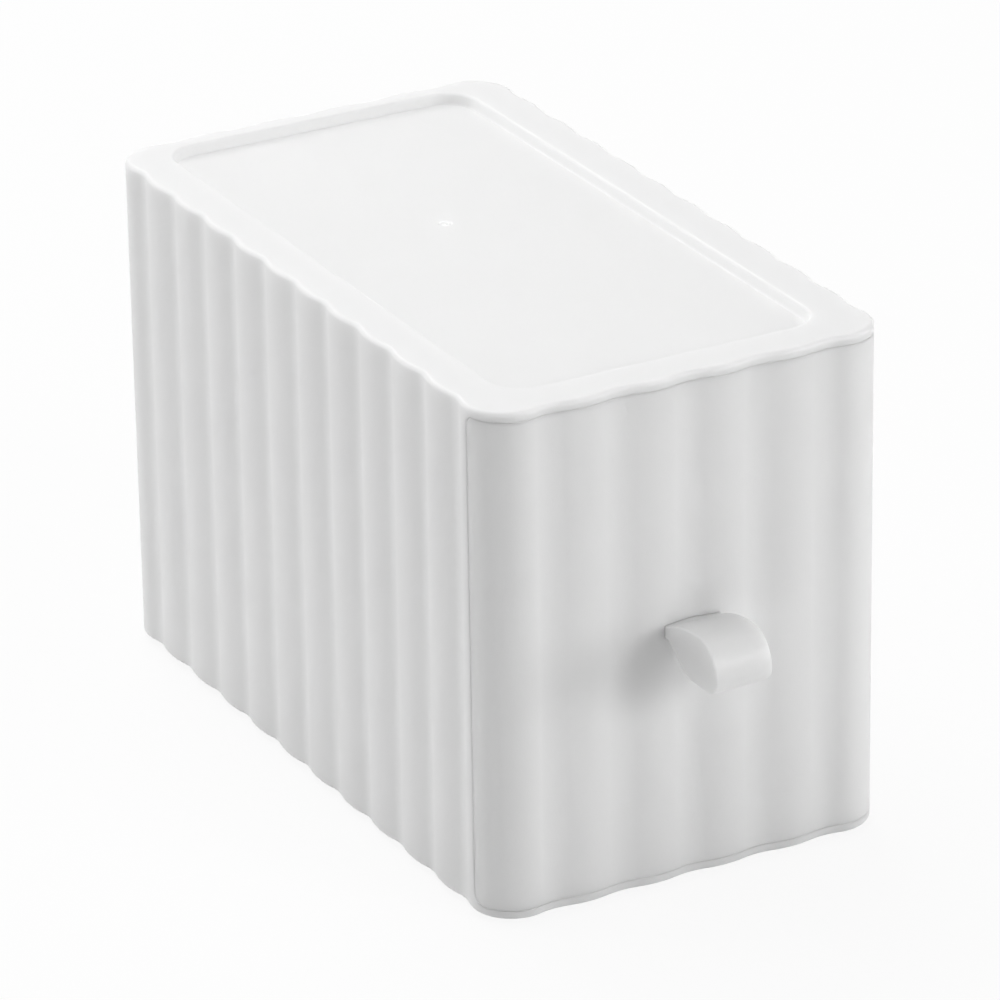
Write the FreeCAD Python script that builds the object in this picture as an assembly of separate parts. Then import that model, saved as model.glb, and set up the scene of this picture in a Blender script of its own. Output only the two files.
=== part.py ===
import FreeCAD, Part
import math
import os

from FreeCAD import Vector

# Cotton pad holder: a fluted casing, open at the front, and a drawer that slides out of it along -Y.
# Millimetres. +X is the right of someone facing the drawer front, +Y the rear and +Z up. The origin is
# under the middle of the whole object, on the surface that its foot pads stand on.

# Overall sizes of the casing, measured over the crests of its flutes.
WIDTH = 83.4
DEPTH = 150.6
HEIGHT = 100.1
TOP_EDGE_RADIUS = 0.85
BOTTOM_EDGE_RADIUS = 0.8

# Flutes: shallow vertical waves of crest arcs and tighter valley arcs. The share is how much of the sum
# of both radii the valley takes.
FLUTE_DEPTH = 0.75
SIDE_FLUTES = 11
SIDE_PITCH = 12.5
SIDE_VALLEY_SHARE = 0.27
END_FLUTES = 5
END_PITCH = 14.3
END_VALLEY_SHARE = 0.43

# Rounded corners: each corner arc has its centre a little further in than its radius.
CORNER_RADIUS = 8.1
CORNER_SIDE_INSET = 8.2
CORNER_END_INSET = 8.25

# Walls of the casing.
WALL = 2.6
FLOOR = 1.75
FRONT_LIP = 1.85
OPENING_EDGE_RADIUS = 0.25
CEILING = 3.6
CAVITY_CORNER_RADIUS = 4.0

# Stacking recess in the top, and the gate mark in the middle of it.
RECESS_DEPTH = 2.1
RECESS_SIDE_RIM = 9.3
RECESS_FRONT_RIM = 9.1
RECESS_REAR_RIM = 4.6
RECESS_CORNER_RADIUS = 6.4
RECESS_EDGE_RADIUS = 0.6
GATE_RADIUS = 1.2
GATE_DEPTH = 0.2
GATE_NUB_RADIUS = 0.55
GATE_NUB_HEIGHT = 0.12
GATE_OFFSET = Vector(-1.25, 14.35, 0)

# Drawer front: it wraps round both corners as far as the seam.
SEAM = 7.5
SEAM_GAP = 0.25
FRONT_GAP = 0.2
FRONT_EDGE_RADIUS = 0.5
FRONT_TOP_CORNER = 1.2
FRONT_BOTTOM_CORNER = 2.6
RETURN_THICKNESS = 2.2
STUD_RADIUS = 2.0
STUD_SPREAD = 26.0
STUD_RISE = 30.0

# Drawer tray.
TRAY_WALL = 1.6
TRAY_CLEARANCE = 0.6
SLIDE_GAP = 0.2
RUNNER_HEIGHT = 0.8
RUNNER_WIDTH = 3.0
RUNNER_SPREAD = 28.0
TRAY_CORNER_RADIUS = 4.0
TRAY_FLOOR_RADIUS = 1.4
TRAY_TOP_RADIUS = 0.5
TRAY_HEADROOM = 1.9
REAR_ROOM = 0.8

# Stops: a rib under the casing's ceiling on each side catches a lug on each side wall of the tray.
TRAVEL = 115.0
STOP_MARGIN = 0.3
STOP_SETBACK = 9.0
STOP_THICKNESS = 1.6
STOP_DROP = 1.2
STOP_WIDTH = 6.4
STOP_FLAT = 0.5
LUG_RISE = 1.5
LUG_LENGTH = 3.0
LUG_FLAT = 1.0

# Finger pull: a thick tongue that swells out of a narrow tang and curls down to a rounded nose.
PULL_WIDTH = 11.6
PULL_REACH = 18.2
PULL_CROWN = 54.6
PULL_TOP_RADIUS = 24.0
PULL_NOSE_RADIUS = 3.7
PULL_BOTTOM = 44.6
PULL_HEEL_OUT = 9.6
PULL_HEEL_RADIUS = 7.0
PULL_HEEL_TURN = 37.5
PULL_EDGE_RADIUS = 0.6
PULL_EDGE_START = 4.8
TANG_TOP = 51.8
TANG_BOTTOM = 49.3
TANG_END = 1.4
BARB_RISE = 0.8
SLOT_CLEARANCE = 0.25
WINDOW_CLEARANCE = 0.7

# Foot pads, sunk a little into the casing's underside.
FOOT_STAND = 1.0
FOOT_SINK = 0.6
FOOT_RADIUS = 5.0
FOOT_EDGE_RADIUS = 0.3
FOOT_SPREAD_X = 24.0
FOOT_SPREAD_Y = 52.0

# Levels and planes that follow from the sizes above.
FRONT = (PULL_REACH - DEPTH) / 2
REAR = FRONT + DEPTH
MIDDLE = (FRONT + REAR) / 2
BASE = FOOT_STAND
TOP = BASE + HEIGHT
CAVITY_HALF_WIDTH = WIDTH / 2 - WALL
CAVITY_FLOOR = BASE + FLOOR
CAVITY_CEILING = TOP - CEILING
CAVITY_REAR = REAR - WALL
TRAY_HALF_WIDTH = CAVITY_HALF_WIDTH - TRAY_CLEARANCE
TRAY_FRONT = FRONT + WALL
TRAY_REAR = CAVITY_REAR - REAR_ROOM
TRAY_BOTTOM = CAVITY_FLOOR + SLIDE_GAP + RUNNER_HEIGHT
TRAY_TOP = CAVITY_CEILING - TRAY_HEADROOM
STOP_FRONT = FRONT + STOP_SETBACK
STOP_REAR = STOP_FRONT + STOP_THICKNESS
OVERSHOOT = 20.0
TOLERANCE = 1e-3


def box(low, high):
    """Box between two opposite corners, each an (x, y, z) triple."""
    size = Vector(*high) - Vector(*low)
    return Part.makeBox(size.x, size.y, size.z, Vector(*low))


def upright_edges(shape):
    """Straight edges of a shape that run along Z."""
    return [edge for edge in shape.Edges if edge.BoundBox.XLength + edge.BoundBox.YLength < TOLERANCE]


def edges_at_height(shape, height):
    """Edges of a shape that lie wholly in one horizontal plane."""
    return [edge for edge in shape.Edges
            if max(abs(edge.BoundBox.ZMin - height), abs(edge.BoundBox.ZMax - height)) < TOLERANCE]


def rim_edges(shape, rear, bottom, top):
    """Outer edges of a fluted wall cut by a front span, no further back than its rear plane.

    Of all edges between the two levels, the straight ones along X are inside the wall, and the upright
    ones in front of the plane only part one flute from the next.
    """
    found = []
    for edge in shape.Edges:
        bounds = edge.BoundBox
        in_span = (bounds.ZMin > bottom - TOLERANCE and bounds.ZMax < top + TOLERANCE
                   and bounds.YMax < rear + TOLERANCE)
        across = bounds.YLength + bounds.ZLength < TOLERANCE
        between_flutes = bounds.XLength + bounds.YLength < TOLERANCE and bounds.YMax < rear - TOLERANCE
        if in_span and not across and not between_flutes:
            found.append(edge)
    return found


def rounded_block(half_width, front, rear, bottom, top, radius):
    """Upright block with rounded upright edges, centred on X = 0."""
    block = box((-half_width, front, bottom), (half_width, rear, top))
    return block.makeFillet(radius, upright_edges(block))


def flute_bends(pitch, valley_share, flutes):
    """Bends along one side, from the bottom of its first valley to the bottom of its last.

    A bend is a radius and a turn in radians, to the left when it is positive.
    """
    turn = 2 * math.atan(2 * FLUTE_DEPTH / pitch)
    radii = pitch / 2 / math.sin(turn)
    crest = ((1 - valley_share) * radii, 2 * turn)
    valley = (valley_share * radii, -2 * turn)
    half_valley = (valley_share * radii, -turn)
    return [half_valley] + [crest, valley] * (flutes - 2) + [crest, half_valley]


def lead_bend(half_length, inset, centre_inset, pitch, flutes):
    """Bend from the bottom of a side's last valley to the corner arc, which it touches smoothly.

    The corner's centre lies at an inset from the side and at another from the side's end.
    """
    along = half_length - centre_inset - pitch * (flutes - 1) / 2
    inward = inset - FLUTE_DEPTH
    radius = (inward ** 2 + along ** 2 - CORNER_RADIUS ** 2) / (2 * (CORNER_RADIUS - inward))
    return radius, -math.atan2(along, radius + inward)


def fluted_block(bottom, top):
    """Block with the fluted outline of the whole holder, between two levels.

    The outline is one closed run of arcs that touch each other smoothly, followed to the left from the
    end of the corner at the front right.
    """
    side_lead = lead_bend(DEPTH / 2, CORNER_SIDE_INSET, CORNER_END_INSET, SIDE_PITCH, SIDE_FLUTES)
    end_lead = lead_bend(WIDTH / 2, CORNER_END_INSET, CORNER_SIDE_INSET, END_PITCH, END_FLUTES)
    corner = (CORNER_RADIUS, math.pi / 2 - side_lead[1] - end_lead[1])
    side = [side_lead] + flute_bends(SIDE_PITCH, SIDE_VALLEY_SHARE, SIDE_FLUTES) + [side_lead]
    end = [end_lead] + flute_bends(END_PITCH, END_VALLEY_SHARE, END_FLUTES) + [end_lead]
    heading = math.pi / 2 - side_lead[1]
    corner_centre = Vector(WIDTH / 2 - CORNER_SIDE_INSET, FRONT + CORNER_END_INSET, bottom)
    start = corner_centre + rightward(heading) * CORNER_RADIUS
    edges = []
    for radius, turn in (side + [corner] + end + [corner]) * 2:
        reach = math.copysign(radius, turn)
        centre = start - rightward(heading) * reach
        middle = centre + rightward(heading + turn / 2) * reach
        heading += turn
        finish = centre + rightward(heading) * reach
        edges.append(Part.Arc(start, middle, finish).toShape())
        start = finish
    return Part.Face(Part.Wire(edges)).extrude(Vector(0, 0, top - bottom))


def rightward(heading):
    """Level unit vector to the right of a heading, given in radians from +X towards +Y."""
    return Vector(math.sin(heading), -math.cos(heading), 0)


def front_span(rear, bottom, top, top_radius, bottom_radius):
    """Block across the front of the holder, whose rear upper and lower edges along X are rounded."""
    half = WIDTH / 2 + OVERSHOOT
    block = box((-half, FRONT - OVERSHOOT, bottom), (half, rear, top))
    for height, radius in ((top, top_radius), (bottom, bottom_radius)):
        edges = [edge for edge in edges_at_height(block, height)
                 if edge.BoundBox.YMin > rear - TOLERANCE]
        block = block.makeFillet(radius, edges)
    return block


def stop_wedge(side, inner, outer, profile):
    """Small wedge on one side of the holder, from a profile of (y, z) corners carried along X."""
    corners = [Vector(side * inner, y, z) for y, z in profile]
    face = Part.Face(Part.makePolygon(corners + corners[:1]))
    return face.extrude(Vector(side * (outer - inner), 0, 0))


def stacking_recess():
    """Shallow recess that takes the foot pads of a holder standing on this one."""
    return rounded_block(WIDTH / 2 - RECESS_SIDE_RIM, FRONT + RECESS_FRONT_RIM, REAR - RECESS_REAR_RIM,
                         TOP - RECESS_DEPTH, TOP + OVERSHOOT, RECESS_CORNER_RADIUS)


def outer_casing():
    """Casing: fluted outside, plain inside, with lips above and below the drawer front."""
    body = fluted_block(BASE, TOP)
    body = body.makeFillet(BOTTOM_EDGE_RADIUS, edges_at_height(body, BASE))
    body = body.makeFillet(TOP_EDGE_RADIUS, edges_at_height(body, TOP))
    opening_rear = FRONT + SEAM + SEAM_GAP / 2
    lip = TOP - FRONT_LIP
    body = body.cut(front_span(opening_rear, CAVITY_FLOOR, lip, FRONT_TOP_CORNER + SEAM_GAP,
                               FRONT_BOTTOM_CORNER + SEAM_GAP))
    body = body.makeFillet(OPENING_EDGE_RADIUS, rim_edges(body, opening_rear, CAVITY_FLOOR, lip))
    recess = stacking_recess()
    body = body.cut(recess)
    recess_bounds = recess.BoundBox
    recess_bounds.enlarge(TOLERANCE)
    rim = [edge for edge in edges_at_height(body, TOP) if recess_bounds.isInside(edge.BoundBox)]
    body = body.makeFillet(RECESS_EDGE_RADIUS, rim)
    body = body.cut(rounded_block(CAVITY_HALF_WIDTH, FRONT - OVERSHOOT, CAVITY_REAR,
                                  CAVITY_FLOOR, CAVITY_CEILING, CAVITY_CORNER_RADIUS))
    recess_floor = TOP - RECESS_DEPTH
    gate = Vector(0, MIDDLE, recess_floor - GATE_DEPTH) + GATE_OFFSET
    body = body.cut(Part.makeCylinder(GATE_RADIUS, OVERSHOOT, gate))
    body = body.fuse(Part.makeCylinder(GATE_NUB_RADIUS, GATE_DEPTH + GATE_NUB_HEIGHT, gate))
    for side in (-1, 1):
        rib_bottom = CAVITY_CEILING - STOP_DROP
        rib = stop_wedge(side, CAVITY_HALF_WIDTH - STOP_WIDTH, CAVITY_HALF_WIDTH,
                         [(STOP_FRONT, CAVITY_CEILING), (STOP_REAR, CAVITY_CEILING),
                          (STOP_REAR, rib_bottom), (STOP_REAR - STOP_FLAT, rib_bottom)])
        body = body.fuse(rib)
    for x, y in foot_places():
        body = body.cut(Part.makeCylinder(FOOT_RADIUS, FOOT_SINK, Vector(x, y, BASE)))
    return body


def drawer_front():
    """Fluted fascia that wraps round both corners, with studs that hold it to the tray."""
    bottom = CAVITY_FLOOR + SEAM_GAP
    top = TOP - FRONT_LIP - FRONT_GAP
    rear = FRONT + SEAM - SEAM_GAP / 2
    block = fluted_block(BASE - OVERSHOOT, TOP + OVERSHOOT)
    block = block.common(front_span(rear, bottom, top, FRONT_TOP_CORNER, FRONT_BOTTOM_CORNER))
    block = block.makeFillet(FRONT_EDGE_RADIUS, rim_edges(block, rear, bottom, top))
    half_inside = WIDTH / 2 - RETURN_THICKNESS
    inside = rounded_block(half_inside, TRAY_FRONT, REAR, BASE - OVERSHOOT, TOP + OVERSHOOT,
                           TRAY_CORNER_RADIUS + half_inside - TRAY_HALF_WIDTH)
    block = block.cut(inside)
    half_slot = PULL_WIDTH / 2 + SLOT_CLEARANCE
    block = block.cut(box((-half_slot, FRONT - OVERSHOOT, BASE + TANG_BOTTOM - SLOT_CLEARANCE),
                          (half_slot, TRAY_FRONT + OVERSHOOT, BASE + TANG_TOP + SLOT_CLEARANCE)))
    for place in stud_places():
        block = block.fuse(Part.makeCylinder(STUD_RADIUS, TRAY_WALL, place, Vector(0, 1, 0)))
    return block


def stud_places():
    """Roots of the four studs on the back of the drawer front."""
    middle = BASE + HEIGHT / 2
    return [Vector(side * STUD_SPREAD, TRAY_FRONT, middle + level * STUD_RISE)
            for side in (-1, 1) for level in (-1, 1)]


def drawer_tray():
    """Open bin that holds the pads, on two low runners."""
    body = rounded_block(TRAY_HALF_WIDTH, TRAY_FRONT, TRAY_REAR, TRAY_BOTTOM, TRAY_TOP,
                         TRAY_CORNER_RADIUS)
    bin_floor = TRAY_BOTTOM + TRAY_WALL
    space = rounded_block(TRAY_HALF_WIDTH - TRAY_WALL, TRAY_FRONT + TRAY_WALL, TRAY_REAR - TRAY_WALL,
                          bin_floor, TRAY_TOP + OVERSHOOT, TRAY_CORNER_RADIUS - TRAY_WALL)
    space = space.makeFillet(TRAY_FLOOR_RADIUS, edges_at_height(space, bin_floor))
    body = body.cut(space)
    body = body.makeFillet(TRAY_TOP_RADIUS, edges_at_height(body, TRAY_TOP))
    for side in (-1, 1):
        centre = side * RUNNER_SPREAD
        runner = box((centre - RUNNER_WIDTH / 2, TRAY_FRONT + TRAY_CORNER_RADIUS,
                      TRAY_BOTTOM - RUNNER_HEIGHT),
                     (centre + RUNNER_WIDTH / 2, TRAY_REAR - TRAY_CORNER_RADIUS, TRAY_BOTTOM))
        lug_front = STOP_REAR + TRAVEL + STOP_MARGIN
        lug = stop_wedge(side, TRAY_HALF_WIDTH - TRAY_WALL, TRAY_HALF_WIDTH,
                         [(lug_front, TRAY_TOP - TRAY_WALL), (lug_front, TRAY_TOP + LUG_RISE),
                          (lug_front + LUG_FLAT, TRAY_TOP + LUG_RISE),
                          (lug_front + LUG_LENGTH, TRAY_TOP - TRAY_WALL)])
        body = body.fuse([runner, lug])
    for place in stud_places():
        body = body.cut(Part.makeCylinder(STUD_RADIUS, TRAY_WALL, place, Vector(0, 1, 0)))
    half_window = PULL_WIDTH / 2 + WINDOW_CLEARANCE
    window = box((-half_window, TRAY_FRONT - OVERSHOOT, BASE + TANG_BOTTOM - BARB_RISE - WINDOW_CLEARANCE),
                 (half_window, TRAY_FRONT + OVERSHOOT, BASE + TANG_TOP + BARB_RISE + WINDOW_CLEARANCE))
    return body.cut(window)


def arc(centre, radius, start, end):
    """Arc in the YZ plane about (y, z), between two angles in degrees from +Y towards +Z."""
    places = []
    for turn in (start, (start + end) / 2, end):
        angle = math.radians(turn)
        places.append(Vector(0, centre[0] + radius * math.cos(angle), centre[1] + radius * math.sin(angle)))
    return Part.Arc(*places).toShape()


def pull_profile():
    """Closed side profile of the pull, all arcs and straight runs that meet smoothly outside the slot.

    It is worked out with y measured from the front's crest plane and z from the casing's underside.
    """
    nose_centre = (PULL_NOSE_RADIUS - PULL_REACH, PULL_BOTTOM + PULL_NOSE_RADIUS)
    crown_radius = PULL_CROWN - nose_centre[1]
    crown_centre = (crown_radius - PULL_REACH, nose_centre[1])
    top_centre = (crown_centre[0], PULL_CROWN - PULL_TOP_RADIUS)
    heel_centre = (-PULL_HEEL_OUT, PULL_BOTTOM + PULL_HEEL_RADIUS)
    root_turn = math.degrees(math.asin((TANG_TOP - top_centre[1]) / PULL_TOP_RADIUS))
    top = arc(top_centre, PULL_TOP_RADIUS, root_turn, 90)
    crown = arc(crown_centre, crown_radius, 90, 180)
    nose = arc(nose_centre, PULL_NOSE_RADIUS, 180, 270)
    heel = arc(heel_centre, PULL_HEEL_RADIUS, -90, PULL_HEEL_TURN - 90)
    belly = Part.LineSegment(nose.lastVertex().Point, heel.firstVertex().Point).toShape()
    heel_end = heel.lastVertex().Point
    root_run = (TANG_BOTTOM - heel_end.z) / math.tan(math.radians(PULL_HEEL_TURN))
    barb_root = WALL + SLOT_CLEARANCE
    tang_end = WALL + TANG_END
    corners = [(heel_end.y + root_run, TANG_BOTTOM), (barb_root, TANG_BOTTOM),
               (barb_root, TANG_BOTTOM - BARB_RISE), (tang_end, TANG_BOTTOM),
               (tang_end, TANG_TOP), (barb_root, TANG_TOP + BARB_RISE), (barb_root, TANG_TOP)]
    path = [heel_end] + [Vector(0, y, z) for y, z in corners] + [top.firstVertex().Point]
    tang = [Part.LineSegment(a, b).toShape() for a, b in zip(path[:-1], path[1:])]
    return Part.Wire([top, crown, nose, belly, heel] + tang)


def pull_tab():
    """Finger pull, pushed into the slot of the drawer front until its barbs snap in behind."""
    face = Part.Face(pull_profile())
    body = face.extrude(Vector(PULL_WIDTH, 0, 0))
    body.translate(Vector(-PULL_WIDTH / 2, FRONT, BASE))
    rounded = [edge for edge in body.Edges
               if edge.BoundBox.XLength < TOLERANCE and edge.BoundBox.YMax < FRONT - PULL_EDGE_START]
    return body.makeFillet(PULL_EDGE_RADIUS, rounded)


def foot_places():
    """Centres of the four foot pads."""
    return [(side * FOOT_SPREAD_X, MIDDLE + end * FOOT_SPREAD_Y) for end in (-1, 1) for side in (-1, 1)]


def foot_pad(x, y):
    """Soft round pad stuck into a shallow pocket of the casing."""
    pad = Part.makeCylinder(FOOT_RADIUS, FOOT_STAND + FOOT_SINK, Vector(x, y, 0))
    return pad.makeFillet(FOOT_EDGE_RADIUS, edges_at_height(pad, 0))


def main():
    """Build each piece and write one STEP file for it."""
    os.makedirs("parts", exist_ok=True)
    pieces = {
        "outer_casing": outer_casing(),
        "drawer_front": drawer_front(),
        "drawer_tray": drawer_tray(),
        "pull_tab": pull_tab(),
    }
    pad_names = ("foot_pad_front_left", "foot_pad_front_right", "foot_pad_rear_left", "foot_pad_rear_right")
    for name, (x, y) in zip(pad_names, foot_places()):
        pieces[name] = foot_pad(x, y)
    for name, shape in pieces.items():
        shape.exportStep("parts/" + name + ".step")
        print(name, "volume", round(shape.Volume), "solids", len(shape.Solids), "valid", shape.isValid())


main()
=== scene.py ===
"""Looks of a cotton pad holder: fluted casing, drawer front, curled finger pull, tray and foot pads.

Lengths are millimetres until a mesh is made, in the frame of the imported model: +X right, +Y rear, +Z up,
with the origin under the middle of the closed holder. Every curved piece is a surface on a grid: one
parameter runs round the holder or along a profile, and the other across it.
"""
import logging
import math
from dataclasses import dataclass, replace
from enum import Enum
from typing import Any, Sequence

import bmesh
import bpy
import numpy as np
from mathutils import Matrix, Vector


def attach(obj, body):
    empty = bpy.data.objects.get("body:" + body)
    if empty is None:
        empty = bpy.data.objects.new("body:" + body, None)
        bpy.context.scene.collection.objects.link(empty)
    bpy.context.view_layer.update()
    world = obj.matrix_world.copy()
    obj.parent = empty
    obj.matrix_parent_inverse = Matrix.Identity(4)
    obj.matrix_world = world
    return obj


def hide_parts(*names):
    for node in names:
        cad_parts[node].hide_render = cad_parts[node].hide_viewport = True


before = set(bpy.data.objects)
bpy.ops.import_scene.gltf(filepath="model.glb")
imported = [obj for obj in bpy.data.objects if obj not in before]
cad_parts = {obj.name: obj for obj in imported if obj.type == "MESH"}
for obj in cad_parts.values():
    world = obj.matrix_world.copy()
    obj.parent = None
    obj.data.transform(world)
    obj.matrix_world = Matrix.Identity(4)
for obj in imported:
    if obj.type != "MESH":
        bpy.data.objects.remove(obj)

Array = np.ndarray
Colour = tuple[float, float, float]
LOG = logging.getLogger("holder")
MM = 0.001
QUARTER = math.pi / 2
STRETCHES = 9       # stretches of a rounded rectangle's outline
FEW, SOME, MANY = 5, 6, 7       # points along a quarter turn
NEAR = 1e-5         # places as close as this are the same
WELD = 0.002        # points as close as this are joined
SLIVER = 0.0005     # edges as short as this are dissolved
CREASE = math.radians(50.0)     # angle past which an edge stays sharp
CHAMFER = 0.15      # size of the chamfers of bars and bosses


class Body(Enum):
    """What stays put, and what slides out to the front."""

    CASING = "casing"
    DRAWER = "drawer"


class Rim(Enum):
    """The lower or the upper edge of a panel, with the sign of the way out there."""

    LOWER = -1.0
    UPPER = 1.0


# ---- curves

def chord(length: Array, heading: Array, turn: Array) -> Array:
    """Vector from the start to the end of a bend.

    Formula: a bend of length l that turns by a has a chord of l * sin(a/2) / (a/2), which points half of
    the turn further than the bend's first heading. A straight stretch is a bend that turns by nothing.

    Args:
        length: Length along the bend.
        heading: Heading at its start, in radians.
        turn: How far it turns to the left, in radians.

    Returns:
        Array of two columns.
    """
    reach = length * np.sinc(turn / (2 * math.pi))
    direction = heading + turn / 2
    return np.stack([reach * np.cos(direction), reach * np.sin(direction)], axis=-1)


@dataclass(frozen=True)
class Path:
    """A flat run of bends and straight stretches, each of which starts with the heading that the last has.

    Attributes:
        start: First point.
        heading: Heading there, in radians.
        lengths: Length of each stretch.
        turns: Turn of each stretch to the left, in radians.
    """

    start: tuple[float, float]
    heading: float
    lengths: Array
    turns: Array

    def knots(self) -> Array:
        """Distances along the path at which its stretches begin and end."""
        return np.concatenate([[0.0], np.cumsum(self.lengths)])

    def at(self, distance: Array) -> tuple[Array, Array]:
        """Points at distances along the path, and the unit vectors to its right there.

        Args:
            distance: Distances from the start.

        Returns:
            Two arrays of two columns: points, and vectors to the right.
        """
        knots = self.knots()
        headings = self.heading + np.concatenate([[0.0], np.cumsum(self.turns)])
        chords = chord(self.lengths, headings[:-1], self.turns)
        starts = np.asarray(self.start) + np.vstack([np.zeros(2), np.cumsum(chords, axis=0)])
        index = np.clip(np.searchsorted(knots, distance, side="right") - 1, 0, len(self.lengths) - 1)
        ahead = distance - knots[index]
        turn = self.turns[index] * ahead / np.maximum(self.lengths[index], NEAR)
        heading = headings[index] + turn
        points = starts[index] + chord(ahead, headings[index], turn)
        return points, np.stack([np.sin(heading), -np.cos(heading)], axis=-1)


@dataclass(frozen=True)
class RoundedRectangle:
    """A rounded rectangle in plan, walked to the left from the middle of its front.

    Attributes:
        half_width, half_depth: Half of its sizes along X and Y.
        radius: Radius of its corners.
        centre: Its middle.
    """

    half_width: float
    half_depth: float
    radius: float
    centre: tuple[float, float]

    def sizes(self) -> Array:
        """All its measures in one array."""
        return np.array([self.half_width, self.half_depth, self.radius, *self.centre])

    def grown(self, by: float) -> "RoundedRectangle":
        """The same rectangle with its outline moved out by a distance."""
        return RoundedRectangle(self.half_width + by, self.half_depth + by, self.radius + by, self.centre)

    def towards(self, other: "RoundedRectangle", share: float) -> "RoundedRectangle":
        """The rectangle that lies a share of the way to another one."""
        *sizes, x, y = self.sizes() + share * (other.sizes() - self.sizes())
        return RoundedRectangle(*sizes, (x, y))

    def path(self) -> Path:
        """Its outline.

        Returns:
            Path of nine stretches: half the front, then corners and sides in turn.
        """
        front = self.half_width - self.radius
        side = 2 * (self.half_depth - self.radius)
        bend = self.radius * QUARTER
        lengths = np.array([front, bend, side, bend, 2 * front, bend, side, bend, front])
        turns = np.where(np.arange(STRETCHES) % 2, QUARTER, 0.0)
        return Path((self.centre[0], self.centre[1] - self.half_depth), 0.0, lengths, turns)

    def at(self, share: Array) -> Array:
        """Points at places along the nine stretches: 2.5 is the middle of the right side."""
        path = self.path()
        return path.at(np.interp(share, np.arange(STRETCHES + 1), path.knots()))[0]


@dataclass(frozen=True)
class FlutedOutline:
    """Outline of the whole holder in plan: flutes of crest and valley arcs on all four sides.

    It is walked to the left from the middle of the front, which is the bottom of a valley.

    Attributes:
        width, depth: Sizes over the crests.
        front: Where the front crests are along Y.
        flute_depth: How deep a valley is.
        side_pitch, side_flutes, side_share: Distance between valleys on the long sides, how many there
            are, and the valley's part of the sum of both radii.
        end_pitch, end_flutes, end_share: The same at the front and the rear.
        corner: Radius of the corner arcs.
        side_inset, end_inset: How far in the corner arcs have their centres.
        search: Distances between which the right front corner is, and how many are tried there.
    """

    width: float = 83.4
    depth: float = 150.6
    front: float = -66.2
    flute_depth: float = 0.75
    side_pitch: float = 12.5
    side_flutes: int = 11
    side_share: float = 0.27
    end_pitch: float = 14.3
    end_flutes: int = 5
    end_share: float = 0.43
    corner: float = 8.1
    side_inset: float = 8.2
    end_inset: float = 8.25
    search: tuple[float, float, int] = (40.0, 55.0, 4000)

    def flutes(self, pitch: float, share: float, count: int) -> Array:
        """Bends from the bottom of a side's first valley to the bottom of its last.

        Formula: a half wave that drops by the flute depth over half a pitch turns by twice the slope of
        its chord, and the sum of its two radii is half a pitch over the sine of that turn.

        Args:
            pitch: Distance between valleys.
            share: The valley's part of the sum of both radii.
            count: How many valleys there are.

        Returns:
            Lengths and turns in two columns.
        """
        turn = 2 * math.atan(2 * self.flute_depth / pitch)
        radii = pitch / 2 / math.sin(turn)
        turns = np.array([-turn, 2 * turn, -turn])
        lengths = np.abs(turns) * radii * np.array([share, 1 - share, share])
        return np.tile(np.stack([lengths, turns], axis=-1), (count - 1, 1))

    def lead(self, along: float, inset: float) -> tuple[float, float]:
        """Bend between a side's last valley and the corner arc.

        Formula: the circle that touches the valley's bottom and the corner arc has the radius at which
        its centre's distance from the corner's centre is the sum of both radii.

        Args:
            along: Distance along the side from the valley to the corner arc's centre.
            inset: How far in from the side's crests that centre lies.

        Returns:
            Length and turn of the bend.
        """
        inward = inset - self.flute_depth
        radius = (inward ** 2 + along ** 2 - self.corner ** 2) / (2 * (self.corner - inward))
        turn = math.atan2(along, radius + inward)
        return radius * turn, -turn

    def path(self) -> Path:
        """The closed outline.

        Returns:
            Path that starts in the middle of the front.
        """
        side_run = self.depth / 2 - self.end_inset - self.side_pitch * (self.side_flutes - 1) / 2
        end_run = self.width / 2 - self.side_inset - self.end_pitch * (self.end_flutes - 1) / 2
        side_lead = self.lead(side_run, self.side_inset)
        end_lead = self.lead(end_run, self.end_inset)
        bend = QUARTER - side_lead[1] - end_lead[1]
        side_waves = self.flutes(self.side_pitch, self.side_share, self.side_flutes)
        end_waves = self.flutes(self.end_pitch, self.end_share, self.end_flutes)
        side = np.vstack([side_lead, side_waves, side_lead])
        end = np.vstack([end_lead, end_waves, end_lead])
        corner = np.array([[self.corner * bend, bend]])
        middle = len(end) // 2
        bends = np.vstack([end[middle:], corner, side, corner, end, corner, side, corner, end[:middle]])
        return Path((0.0, self.front + self.flute_depth), 0.0, bends[:, 0], bends[:, 1])

    def length(self) -> float:
        """Length of the whole outline."""
        return float(self.path().lengths.sum())

    def shares(self, distance: Array) -> Array:
        """Places along a rounded rectangle that answer to distances along this outline.

        Args:
            distance: Distances from the middle of the front.

        Returns:
            Places along the nine stretches, with the corners of both at the same places.
        """
        path = self.path()
        edges = np.flatnonzero(path.turns > QUARTER)
        corners = np.stack([path.knots()[edges], path.knots()[edges + 1]], axis=-1).ravel()
        stops = np.concatenate([[0.0], corners, [self.length()]])
        return np.interp(distance % self.length(), stops, np.arange(STRETCHES + 1))

    def at(self, distance: Array, inset: Array | float = 0.0) -> Array:
        """Points round the outline.

        Args:
            distance: Distances from the middle of the front, to the left round the holder. They may be
                negative, and then run the other way.
            inset: How far in the points lie, one value or one for each.

        Returns:
            Array of two columns.
        """
        points, outward = self.path().at(distance % self.length())
        return points - outward * np.broadcast_to(inset, np.shape(distance))[..., None]

    def crossing(self, level: float) -> float:
        """Distance from the middle of the front at which the right front corner crosses a level along Y."""
        tried = np.linspace(*self.search)
        return float(np.interp(level, self.at(tried)[:, 1], tried))


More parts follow.
